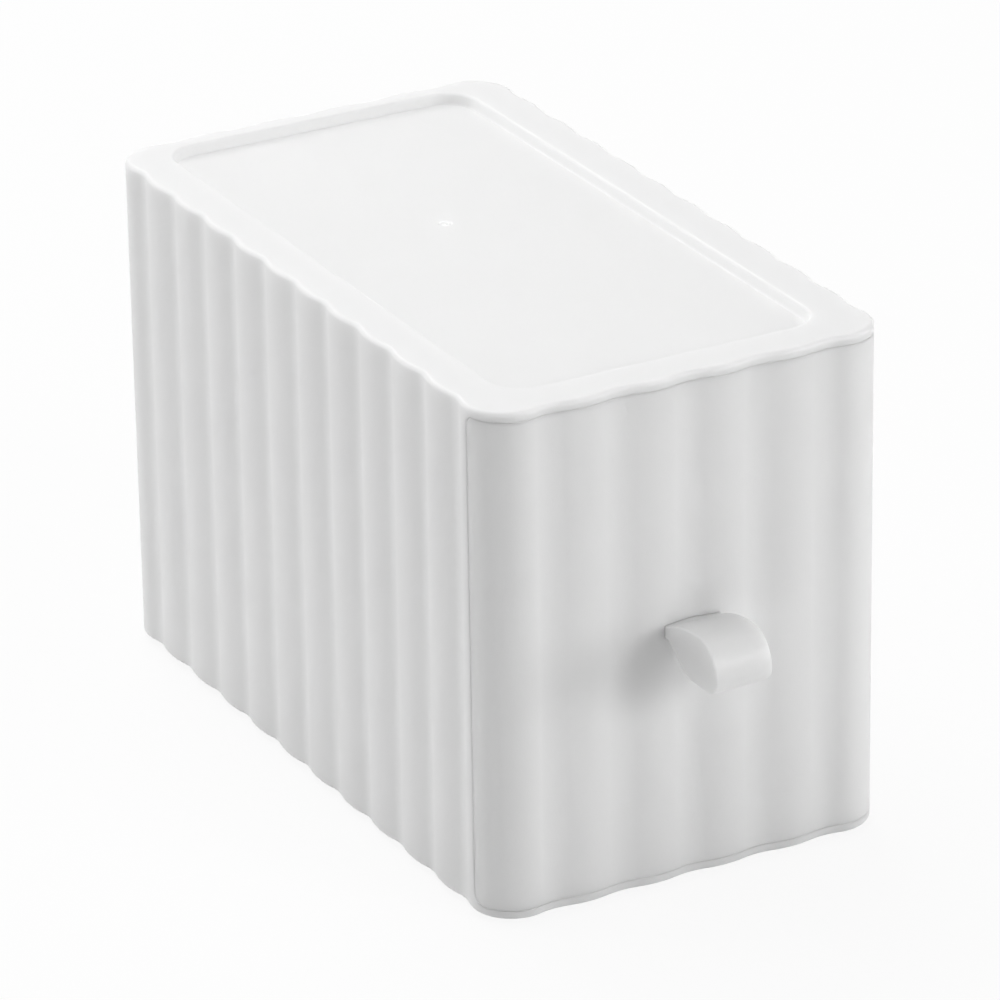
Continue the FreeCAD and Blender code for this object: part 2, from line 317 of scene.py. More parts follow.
@dataclass(frozen=True)
class Border:
    """A strip along a panel's edge: its width at sides, bottom and top, and how deep it goes."""

    side: float
    bottom: float
    top: float
    depth: float = 0.0

    def reach(self, ways: Array) -> Array:
        """Reach along the wall and up it, for unit ways out of the panel in two columns."""
        upright = np.where(ways[:, 1] < 0, self.bottom, self.top)
        return ways * np.stack([np.full(len(ways), self.side), upright], axis=-1)


@dataclass(frozen=True)
class Panel:
    """A rounded rectangle drawn on the unrolled wall, with its middle at the middle of the front.

    Attributes:
        half: Half of its length round the outline.
        bottom, top: Its levels.
        bottom_radius, top_radius: Radii of its lower and its upper corners.
        corner_points: Columns of a corner.
    """

    half: float
    bottom: float
    top: float
    bottom_radius: float
    top_radius: float
    corner_points: int = 9

    def grown(self, by: Border, share: float = 1.0) -> "Panel":
        """The same panel with its edge moved.

        Args:
            by: How far it moves out at the sides, the bottom and the top.
            share: The share of that, or below zero to move in.

        Returns:
            The new panel.
        """
        side, bottom, top = share * by.side, share * by.bottom, share * by.top
        return Panel(self.half + side, self.bottom - bottom, self.top + top, self.bottom_radius + side,
                     self.top_radius + side)

    def columns(self, step: float, extra: Sequence[float] = ()) -> Array:
        """Distances round the outline, close together where the corners bend.

        Args:
            step: Largest distance between two of them along the front.
            extra: Further distances that must be among them, on the right half.

        Returns:
            Rising array, the same on the left and the right.
        """
        angles = quarter_steps(self.corner_points)
        bends = [self.half - r + r * np.sin(angles) for r in (self.bottom_radius, self.top_radius)]
        straight = self.half - max(self.bottom_radius, self.top_radius)
        run = np.linspace(0.0, straight, round(straight / step) + 1)
        right = np.unique(np.round(np.concatenate([run, *bends, np.asarray(extra, float)]), 6))
        return np.concatenate([-right[:0:-1], right])

    def edge(self, distance: Array, rim: Rim) -> tuple[Array, Array]:
        """Level of one edge, and the way out of the panel there.

        Formula: past the start of a corner the edge is a quarter circle, level - r + sqrt(r^2 - over^2).

        Args:
            distance: Distances round the outline.
            rim: Which edge is meant.

        Returns:
            Levels, and an array of two columns: out along the outline, and up.
        """
        level, radius = ((self.top, self.top_radius) if rim is Rim.UPPER else
                         (self.bottom, self.bottom_radius))
        over = np.clip(np.abs(distance) - (self.half - radius), 0.0, radius)
        lift = np.sqrt(radius ** 2 - over ** 2)
        ways = np.stack([np.sign(distance) * over, rim.value * lift], axis=-1) / radius
        return level + rim.value * (lift - radius), ways

    def ways(self, columns: Array, sides: int) -> Array:
        """Ways out of the panel once round its edge, as around() walks it.

        Args:
            columns: Distances round the outline.
            sides: How many points each upright side has between its corners.

        Returns:
            Unit vectors in two columns.
        """
        down = self.edge(columns, Rim.LOWER)[1]
        up = self.edge(columns, Rim.UPPER)[1]
        out = np.tile([1.0, 0.0], (sides, 1))
        return np.vstack([down, out, up[::-1], -out])


# ---- grids

def quarter_steps(count: int) -> Array:
    """Angles from 0 to a quarter turn."""
    return np.linspace(0.0, QUARTER, count)


def rounded(radius: float, count: int) -> Array:
    """Quarter circle of a rounded edge, from the wall to the top.

    Formula: at an angle a it is r * (1 - cos a) in from the wall and r * (1 - sin a) below the top.

    Args:
        radius: Its radius.
        count: How many points it has.

    Returns:
        How far in and how far down each point is, in two columns.
    """
    a = quarter_steps(count)
    return radius * (1 - np.stack([np.cos(a), np.sin(a)], axis=-1))


def raised(plan: Array, level: Array | float) -> Array:
    """Plan points with a level added as their third coordinate."""
    return np.concatenate([plan, np.broadcast_to(level, plan.shape[:-1])[..., None]], axis=-1)


def around(grid: Array) -> Array:
    """Points on the border of a grid, once round: first row, last column, last row, first column."""
    return np.vstack([grid[0], grid[1:-1, -1], grid[-1][::-1], grid[1:-1, 0][::-1]])


def banded(bounds: Array, counts: Sequence[int]) -> Array:
    """Rows that divide the bands between bounds evenly.

    Args:
        bounds: One row for each bound, from the lowest.
        counts: How many rows each band has, without its upper bound.

    Returns:
        The rows of all bands, and the last bound.
    """
    rows = [low + (high - low) * np.linspace(0, 1, count, endpoint=False)[:, None]
            for low, high, count in zip(bounds[:-1], bounds[1:], counts)]
    return np.vstack([*rows, bounds[-1:]])


def bar(corners: Sequence[tuple[float, float]], low: float, high: float) -> Array:
    """Grid of a small straight bar along X, with chamfered ends.

    Args:
        corners: Corners of its side profile, as y and z, once round.
        low: Where it starts along X.
        high: Where it ends.

    Returns:
        Points as rows, columns and coordinates. The last column joins the first.
    """
    profile = np.asarray(corners)
    middle = profile.mean(axis=0)
    cut = 1 - CHAMFER / np.linalg.norm(profile - middle, axis=-1).max()
    share = np.array([0.0, cut, 1.0, 1.0, cut, 0.0])[:, None, None]
    along = np.array([low, low, low + CHAMFER, high - CHAMFER, high, high])[:, None, None]
    rows = middle + (profile - middle) * share
    return np.concatenate([np.broadcast_to(along, (*rows.shape[:2], 1)), rows], axis=-1)


def boss(x: float, z: float, radius: float, front: float, rear: float, sides: int = 32) -> Array:
    """Grid of a low round boss along Y with a chamfered rear end: rings about its axis.

    Args:
        x, z: Where its axis is.
        radius: Its radius.
        front, rear: Where it starts and ends.
        sides: Points of a ring.

    Returns:
        Points as rows, columns and coordinates. The last column joins the first.
    """
    turn = np.linspace(0.0, 2 * math.pi, sides, endpoint=False)
    reach = np.array([0.0, radius, radius, radius - CHAMFER, 0.0])[:, None]
    depth = np.array([front, front, rear - CHAMFER, rear, rear])[:, None]
    y = np.broadcast_to(depth, (len(depth), sides))
    return np.stack([x + reach * np.cos(turn), y, z + reach * np.sin(turn)], axis=-1)


class Surface:
    """Grids of points that are welded along their shared edges into one closed mesh."""

    def __init__(self) -> None:
        """Start with no grid."""
        self.points: list[Array] = []
        self.faces: list[Array] = []
        self.count = 0

    def add(self, grid: Array, closed: bool = True, holes: Array | None = None) -> None:
        """Add one grid of points and the faces between them.

        Args:
            grid: Points as rows, columns and coordinates, in millimetres.
            closed: Whether the last column joins the first.
            holes: Faces to leave out, as a mask of rows and columns.
        """
        rows, columns = grid.shape[:2]
        index = np.arange(rows * columns).reshape(rows, columns) + self.count
        if closed:
            index = np.hstack([index, index[:, :1]])
        quads = np.stack([index[:-1, :-1], index[:-1, 1:], index[1:, 1:], index[1:, :-1]], axis=-1)
        kept = quads.reshape(-1, 4) if holes is None else quads[~holes]
        self.points.append(grid.reshape(-1, 3))
        self.faces.append(kept)
        self.count += rows * columns

    def build(self, name: str, material: bpy.types.Material) -> bpy.types.Object:
        """Weld the grids into a smooth-shaded object whose faces point outwards.

        Args:
            name: Name of the object.
            material: What it is made of.

        Returns:
            The new object, at the origin.
        """
        mesh = bpy.data.meshes.new(name)
        points = np.concatenate(self.points) * MM
        mesh.from_pydata(points.tolist(), [], np.concatenate(self.faces).tolist())
        work = bmesh.new()
        work.from_mesh(mesh)
        bmesh.ops.remove_doubles(work, verts=work.verts, dist=WELD * MM)
        bmesh.ops.dissolve_degenerate(work, edges=work.edges, dist=SLIVER * MM)
        bmesh.ops.recalc_face_normals(work, faces=work.faces)
        open_edges = sum(not edge.is_manifold for edge in work.edges)
        work.to_mesh(mesh)
        work.free()
        mesh.shade_smooth()
        mesh.set_sharp_from_angle(angle=CREASE)
        mesh.materials.append(material)
        piece = bpy.data.objects.new(name, mesh)
        bpy.context.scene.collection.objects.link(piece)
        LOG.info("%s: %d faces, %d open edges", name, len(mesh.polygons), open_edges)
        return piece


# ---- materials

class Value:
    """A shader socket that takes part in Python expressions."""

    def __init__(self, bench: "Bench", socket: bpy.types.NodeSocket) -> None:
        """Wrap one output socket of a node tree."""
        self.bench = bench
        self.socket = socket

    def __add__(self, other: Any) -> "Value":
        """Sum."""
        return self.bench.math("ADD", self, other)

    def __radd__(self, other: Any) -> "Value":
        """Sum, reflected."""
        return self.bench.math("ADD", other, self)

    def __mul__(self, other: Any) -> "Value":
        """Product."""
        return self.bench.math("MULTIPLY", self, other)

    def __rmul__(self, other: Any) -> "Value":
        """Product, reflected."""
        return self.bench.math("MULTIPLY", other, self)


@dataclass(frozen=True)
class Layer:
    """A layer of noise on a surface.

    Attributes:
        scale: Waves per metre.
        detail: Octaves.
        height: Its height in metres.
        dulling: What it adds to the roughness.
        contrast: How far each octave counts for the next.
    """

    scale: float
    detail: float
    height: float = 0.0
    dulling: float = 0.0
    contrast: float = 0.55


class Bench:
    """Builds the node tree of one material or world."""

    def __init__(self, owner: bpy.types.Material | bpy.types.World) -> None:
        """Empty the node tree of a material or world.

        Args:
            owner: The material or world.
        """
        owner.use_nodes = True
        self.owner = owner
        self.tree = owner.node_tree
        self.tree.nodes.clear()

    @classmethod
    def named(cls, name: str) -> "Bench":
        """A bench for a new material."""
        return cls(bpy.data.materials.new(name))

    def node(self, kind: str, inputs: dict[Any, Any] | None = None, **settings: Any) -> bpy.types.Node:
        """Add one node.

        Args:
            kind: Node type, such as ShaderNodeTexNoise.
            inputs: Values or links of its input sockets, by name or number.
            settings: Properties of the node, set first.

        Returns:
            The node.
        """
        node = self.tree.nodes.new(kind)
        for key, value in settings.items():
            setattr(node, key, value)
        for key, value in (inputs or {}).items():
            source = value.socket if isinstance(value, Value) else value
            if isinstance(source, bpy.types.NodeSocket):
                self.tree.links.new(source, node.inputs[key])
            else:
                node.inputs[key].default_value = source
        return node

    def math(self, operation: str, *operands: Any) -> Value:
        """Result of a Math node on values or numbers."""
        node = self.node("ShaderNodeMath", dict(enumerate(operands)), operation=operation)
        return Value(self, node.outputs[0])

    def noise(self, layer: Layer) -> Value:
        """Noise on object coordinates.

        Args:
            layer: Its scale, detail and contrast.

        Returns:
            A value between 0 and 1.
        """
        place = self.node("ShaderNodeTexCoord").outputs["Object"]
        texture = self.node("ShaderNodeTexNoise", {"Vector": place, "Scale": layer.scale,
                                                   "Detail": layer.detail, "Roughness": layer.contrast})
        return Value(self, texture.outputs[0])

    def blend(self, amount: Value, first: Colour, second: Colour) -> bpy.types.NodeSocket:
        """Colour between two, by an amount from 0 to 1."""
        ends = {"Factor": amount, 6: (*first, 1.0), 7: (*second, 1.0)}
        return self.node("ShaderNodeMix", ends, data_type="RGBA").outputs[2]

    def seen(self) -> Value:
        """Whether a ray shows the camera something, directly, mirrored or through glass.

        Returns:
            1 for those rays and 0 for all other light.
        """
        rays = self.node("ShaderNodeLightPath").outputs
        camera, glossy, through = [Value(self, rays[f"Is {kind} Ray"])
                                   for kind in ("Camera", "Glossy", "Transmission")]
        return self.math("MINIMUM", camera + glossy + through, 1.0)

    def finish(self, shader: bpy.types.Node) -> bpy.types.Material:
        """Send a shader to the output and hand over the material."""
        self.node("ShaderNodeOutputMaterial", {"Surface": shader.outputs[0]})
        return self.owner


@dataclass(frozen=True)
class Finish:
    """A moulded material: layers of noise give it texture, a faint mottle and an uneven gloss.

    Attributes:
        name: Name of the material.
        colour, tint: Base colour where the first layer is low, and where it is high.
        roughness: Roughness where no layer raises it.
        index: Refractive index.
        layers: Layers of noise.
        scatter, scatter_reach: Share of the light that passes through, and how far it goes.
    """

    name: str
    colour: Colour
    tint: Colour
    roughness: float
    index: float
    layers: tuple[Layer, ...]
    scatter: float = 0.0
    scatter_reach: float = 0.0

    def material(self) -> bpy.types.Material:
        """Build the node material.

        Returns:
            The new material.
        """
        bench = Bench.named(self.name)
        noises = [bench.noise(layer) for layer in self.layers]
        pairs = list(zip(noises, self.layers))
        rough = sum((noise * layer.dulling for noise, layer in pairs if layer.dulling), self.roughness)
        heights = [noise * layer.height for noise, layer in pairs if layer.height]
        bump = bench.node("ShaderNodeBump",
                          {"Strength": 1.0, "Distance": 1.0, "Height": sum(heights[1:], heights[0])})
        shader = bench.node("ShaderNodeBsdfPrincipled", {
            "Base Color": bench.blend(noises[0], self.colour, self.tint), "Roughness": rough,
            "Normal": bump.outputs[0], "IOR": self.index, "Subsurface Weight": self.scatter,
            "Subsurface Radius": (1.0, 1.0, 1.0), "Subsurface Scale": self.scatter_reach * MM,
        }, subsurface_method="BURLEY")
        return bench.finish(shader)


# Satin white plastic that lets a little light through: slow mottle, fine spark-eroded grain, slow ripple.
WHITE = Finish("casing_plastic", (0.8, 0.8, 0.8), (0.785, 0.785, 0.785), 0.36, 1.46,
               (Layer(45.0, 3.0, dulling=0.07), Layer(2600.0, 2.0, 0.000012, 0.05),
                Layer(60.0, 1.0, 0.00003)), 1.0, 3.0)
# Soft matte rubber with a dusty face.
RUBBER = Finish("pad_rubber", (0.48, 0.49, 0.5), (0.58, 0.58, 0.58), 0.78, 1.5,
                (Layer(420.0, 4.0, 0.00002, 0.15), Layer(5200.0, 2.0, 0.00002)))


# ---- sub-assemblies

@dataclass
class Casing:
    """The fixed casing: fluted wall, flat lid with a stacking recess, and a cavity open to the front.

    Attributes:
        seam: Where the sides of the opening end, along Y.
        guard, foot_guard: Widths of the flat strips next to the rounded edges of the lid and the foot.
        spine_half, foot_grown: Half of the underside's middle line, and how far outside the recess's
            outline the middle part of the underside ends.
        gate, gate_reach: Where the floor's rows close in on the gate mark, and its outermost ring.
        nub_radius, nub_height: The nub in the middle of the mark's dent.
        lip_depth: How far in front of the seam the lips of the opening reach at most.
        sunk: How far the ribs go into the walls.
    """

    outline: FlutedOutline
    opening: Panel
    finish: Finish
    base: float = 1.0
    top: float = 101.1
    seam: float = -58.575
    step: float = 0.6
    wall_rows: tuple[int, int, int] = (3, 12, 4)
    brim_shares: tuple[float, ...] = (0.0, 0.33, 0.66, 1.0)
    floor_rows: int = 9
    gate_rows: int = 18
    guard: float = 0.12
    foot_guard: float = 0.15
    spine_half: float = 40.0
    foot_grown: float = 3.0
    bottom_edge: float = 0.8
    top_edge: float = 0.85
    opening_edge: Border = Border(0.2, 0.35, 0.05, 0.2)
    recess: RoundedRectangle = RoundedRectangle(32.4, 68.45, 6.4, (0.0, 11.35))
    recess_depth: float = 2.1
    recess_edge: float = 0.75
    recess_slope: float = math.radians(74.0)
    recess_fillet: float = 0.4
    recess_points: int = 8
    gate: RoundedRectangle = RoundedRectangle(3.0, 3.0, 3.0, (-1.25, 23.45))
    gate_reach: float = 1.55
    gate_radius: float = 1.2
    gate_depth: float = 0.2
    gate_slope: float = 0.35
    nub_radius: float = 0.5
    nub_height: float = 0.3
    cavity_half: float = 39.1
    cavity_floor: float = 2.75
    cavity_ceiling: float = 97.5
    cavity_rear: float = 81.8
    cavity_radius: float = 4.0
    rear_shares: tuple[float, ...] = (0.95, 0.5, 0.0)
    lip_depth: float = 1.6
    rib_front: float = -57.2
    rib_rear: float = -55.6
    rib_bottom: float = 96.3
    rib_flat: float = 0.5
    rib_width: float = 6.4
    sunk: float = 0.3

    def columns(self) -> tuple[Array, int]:
        """Columns of the whole wall.

        Returns:
            Distances round the outline, and how many of them cross the front.
        """
        front = self.opening.grown(self.opening_edge).columns(self.step)
        rest = self.outline.length() - 2 * front[-1]
        rear = front[-1] + np.linspace(0.0, rest, round(rest / self.step) + 1)[1:-1]
        return np.concatenate([front, rear]), len(front)

    def levels(self, columns: Array, front: int) -> Array:
        """Levels of the wall's rows, which follow the edge of the opening across the front.

        Args:
            columns: Distances round the outline.
            front: How many of them cross the front.

        Returns:
            Levels as rows and columns.
        """
        cut = self.opening.grown(self.opening_edge)
        across = np.where(np.arange(len(columns)) < front, columns, cut.half)
        low, high = (cut.edge(across, rim)[0] for rim in Rim)
        foot = np.full(len(columns), self.base + self.bottom_edge)
        eave = np.full(len(columns), self.top - self.top_edge)
        return banded(np.stack([foot, low, high, eave]), self.wall_rows)

    def lid(self, columns: Array) -> Array:
        """Rows from the wall's upper edge over the rim and down the recess to the gate mark's middle.

        Args:
            columns: Distances round the outline.

        Returns:
            Points as rows, columns and coordinates.
        """
        shares = self.outline.shares(columns)
        rows = [raised(self.outline.at(columns, inset), self.top - drop)
                for inset, drop in rounded(self.top_edge, SOME)[1:]]
        wall = self.recess_wall()
        rim = self.outline.at(columns, self.top_edge + self.guard)
        brim = self.recess.grown(wall[0, 0] + self.guard).at(shares)
        rows += [raised(rim + (brim - rim) * share, self.top) for share in self.brim_shares]
        rows += [raised(self.recess.grown(out).at(shares), self.top - drop) for out, drop in wall]
        floor = self.top - self.recess_depth
        inner = self.recess.grown(wall[-1, 0] - self.guard)
        rows += [raised(inner.towards(self.gate, share).at(shares), floor)
                 for share in np.linspace(0, 1, self.floor_rows)]
        rows += [raised(self.gate.grown(radius - self.gate.radius).at(shares),
                        floor + self.gate_height(radius))
                 for radius in np.linspace(self.gate_reach, 0.0, self.gate_rows)]
        return np.stack(rows)

    def recess_wall(self) -> Array:
        """Side profile of the recess from its rim to its floor.

        Formula: an arc that bends down from the level rim, a straight slope and an arc that bends back to
        level. The slope crosses the recess's outline halfway down.

        Returns:
            How far out of the recess and how far down each point is, in two columns.
        """
        bend = np.linspace(0.0, self.recess_slope, self.recess_points)
        upper = self.recess_edge * np.stack([-np.sin(bend), 1 - np.cos(bend)], axis=-1)
        lower = self.recess_fillet * np.stack([np.sin(bend), np.cos(bend) - 1], axis=-1)[::-1]
        fall = self.recess_depth - upper[-1, 1] + lower[0, 1]
        slope = upper[-1] + [-fall / math.tan(self.recess_slope), fall]
        profile = np.vstack([upper, slope + lower - lower[0]])
        return profile - [np.interp(self.recess_depth / 2, profile[:, 1], profile[:, 0]), 0.0]

    def gate_height(self, radius: float) -> float:
        """Height of the gate mark over the recess floor.

        Formula: a round dent with a cosine wall, and a cosine nub in the middle of it.

        Args:
            radius: Distance from its middle.

        Returns:
            The height, which is negative in the dent.
        """
        past = np.array([radius - self.gate_radius, self.nub_radius - radius]) / self.gate_slope
        dent, nub = (1 - np.cos(math.pi * np.clip(past + 0.5, 0.0, 1.0))) / 2
        return float(self.nub_height * nub - self.gate_depth * (1 - dent))

    def underside(self, columns: Array) -> Array:
        """Rows from the middle of the underside out and round the lower edge to the wall.

        Args:
            columns: Distances round the outline.

        Returns:
            Points as rows, columns and coordinates.
        """
        shares = self.outline.shares(columns)
        middle = replace(self.recess, half_width=0.0, half_depth=self.spine_half, radius=0.0)
        inner = self.recess.grown(self.foot_grown)
        rows = [raised(middle.towards(inner, share).at(shares), self.base) for share in (0.0, 0.5, 1.0)]
        rows.append(raised(self.outline.at(columns, self.bottom_edge + self.foot_guard), self.base))
        rows += [raised(self.outline.at(columns, inset), self.base + lift)
                 for lift, inset in rounded(self.bottom_edge, MANY)]
        return np.stack(rows)

    def interior(self, places: Array, ways: Array) -> Array:
        """Rows from the opening's edge round its fillet, past the lips and through the cavity to its rear.

        Args:
            places: The edge once round, as distances and levels.
            ways: Ways out of the opening there.

        Returns:
            Points as rows, columns and coordinates.
        """
        rows = []
        reach = self.opening_edge.reach(ways)
        for a in quarter_steps(FEW):
            spot = places - reach * math.sin(a)
            inset = self.opening_edge.depth * (1 - math.cos(a))
            rows.append(raised(self.outline.at(spot[:, 0], inset), spot[:, 1]))
        x, y, z = rows[-1].T
        inside = np.clip(x, -self.cavity_half, self.cavity_half)
        within = np.clip(z, self.cavity_floor, self.cavity_ceiling)
        lip = np.stack([inside, np.maximum(y, self.seam - self.lip_depth), z], axis=-1)
        mouth = np.stack([inside, np.full(len(z), self.seam), within], axis=-1)
        rows += [lip + (mouth - lip) * [1.0, math.sin(a), 1 - math.cos(a)] for a in quarter_steps(FEW)]
        for inset, short in rounded(self.cavity_radius, MANY):
            rear = np.full(len(z), self.cavity_rear - short)
            rows.append(np.stack([inside * (1 - inset / self.cavity_half), rear, within], axis=-1))
        middle = np.array([0.0, self.cavity_rear, (self.cavity_floor + self.cavity_ceiling) / 2])
        rows += [middle + (rows[-1] - middle) * share for share in self.rear_shares]
        return np.stack(rows)

    def build(self) -> bpy.types.Object:
        """Build the casing's shell and dress it.

        Returns:
            The new object.
        """
        columns, front = self.columns()
        low, high, _ = np.cumsum(self.wall_rows)
        levels = self.levels(columns, front)
        wall = raised(np.broadcast_to(self.outline.at(columns), (*levels.shape, 2)), levels)
        grid = np.concatenate([wall, self.lid(columns)])
        holes = np.zeros((len(grid) - 1, len(columns)), bool)
        holes[low:high, :front - 1] = True
        shell = Surface()
        shell.add(grid, holes=holes)
        shell.add(self.underside(columns))
        beside = levels[low:high + 1, :front]
        places = around(np.stack([np.broadcast_to(columns[:front], beside.shape), beside], axis=-1))
        ways = self.opening.grown(self.opening_edge).ways(columns[:front], len(beside) - 2)
        shell.add(self.interior(places, ways))
        root = self.cavity_ceiling + self.sunk
        rib = [(self.rib_front, root), (self.rib_front, self.cavity_ceiling),
               (self.rib_rear - self.rib_flat, self.rib_bottom),
               (self.rib_rear, self.rib_bottom), (self.rib_rear, root)]
        inner, outer = self.cavity_half - self.rib_width, self.cavity_half + self.sunk
        shell.add(bar(rib, inner, outer))
        shell.add(bar(rib, -outer, -inner))
        return shell.build("casing_shell", self.finish.material())


@dataclass
class Fascia:
    """The drawer front: a fluted plate that wraps round both corners, with a slot for the finger pull.

    Attributes:
        inner: Outline of the plate's plain inner face.
        zone_rows: Rows under, beside and over the slot.
        thickness: Thickness that the roundings are measured against.
    """

    outline: FlutedOutline
    panel: Panel
    finish: Finish
    inner: RoundedRectangle = RoundedRectangle(39.5, 72.7, 5.0, (0.0, 9.1))
    step: float = 0.5
    zone_rows: int = 10
    edge: Border = Border(0.25, 0.12, 0.8, 0.25)
    thickness: float = 2.4
    slot_half: float = 5.82
    slot_bottom: float = 50.27
    slot_top: float = 52.82
    slot_edge: float = 0.05
    stud_radius: float = 2.0
    stud_spread: float = 26.0
    stud_levels: tuple[float, float] = (21.05, 81.05)
    stud_front: float = -63.8
    stud_rear: float = -61.9

    def place(self, spot: Array, share: Array | float) -> Array:
        """Points of the plate.

        Args:
            spot: Distances round the outline, and levels, in two last columns.
            share: How far in they lie, from 0 at the fluted face to 1 at the plain inner face.

        Returns:
            Points with three last columns.
        """
        outer = self.outline.at(spot[..., 0])
        inner = self.inner.at(self.outline.shares(spot[..., 0]))
        mix = np.broadcast_to(share, spot.shape[:-1])[..., None]
        return raised(outer + (inner - outer) * mix, spot[..., 1])

    def lattice(self, face: Panel) -> tuple[Array, Array]:
        """Places of the plate's two faces, inside the rounded edges.

        Args:
            face: The panel without its rounding.

        Returns:
            Distances and levels in the last column, and the two columns that bound the slot.
        """
        slot = self.slot_half + self.slot_edge
        columns = face.columns(self.step, (slot,))
        low, high = (face.edge(columns, rim)[0] for rim in Rim)
        under = np.full(len(columns), self.slot_bottom - self.slot_edge)
        over = np.full(len(columns), self.slot_top + self.slot_edge)
        levels = banded(np.stack([low, under, over, high]), (self.zone_rows,) * 3)
        spots = np.stack([np.broadcast_to(columns, levels.shape), levels], axis=-1)
        return spots, np.flatnonzero(np.abs(np.abs(columns) - slot) < NEAR)

    def ring(self, places: Array, reach: Array, depth: float) -> Array:
        """Rows from the fluted face round one edge, through the plate and round the edge behind.

        Args:
            places: Where the edge starts to bend, as distances and levels in two columns.
            reach: How far it reaches from there, along the wall and up it.
            depth: How deep it goes into the plate.

        Returns:
            Points as rows, columns and coordinates.
        """
        share = depth / self.thickness
        turn = quarter_steps(MANY)
        rows = [self.place(places + reach * math.sin(a), share * (1 - math.cos(a))) for a in turn]
        rows += [self.place(places + reach * math.cos(a), 1 - share * (1 - math.sin(a))) for a in turn]
        return np.stack(rows)

    def build(self) -> bpy.types.Object:
        """Build the plate and dress it.

        Returns:
            The new object.
        """
        face = self.panel.grown(self.edge, -1.0)
        spots, (left, right) = self.lattice(face)
        low, high = self.zone_rows, 2 * self.zone_rows
        holes = np.zeros((spots.shape[0] - 1, spots.shape[1] - 1), bool)
        holes[low:high, left:right] = True
        plate = Surface()
        for share in (0.0, 1.0):
            plate.add(self.place(spots, share), closed=False, holes=holes)
        reach = self.edge.reach(face.ways(spots[0, :, 0], len(spots) - 2))
        plate.add(self.ring(around(spots), reach, self.edge.depth))
        places = around(spots[low:high + 1, left:right + 1])
        middle = places.mean(axis=0)
        outermost = np.abs(places - middle) > np.abs(places[0] - middle) - NEAR
        reach = -np.sign(places - middle) * outermost * self.slot_edge
        plate.add(self.ring(places, reach, self.slot_edge))
        for x in (-self.stud_spread, self.stud_spread):
            for z in self.stud_levels:
                plate.add(boss(x, z, self.stud_radius, self.stud_front, self.stud_rear))
        return plate.build("drawer_fascia", self.finish.material())


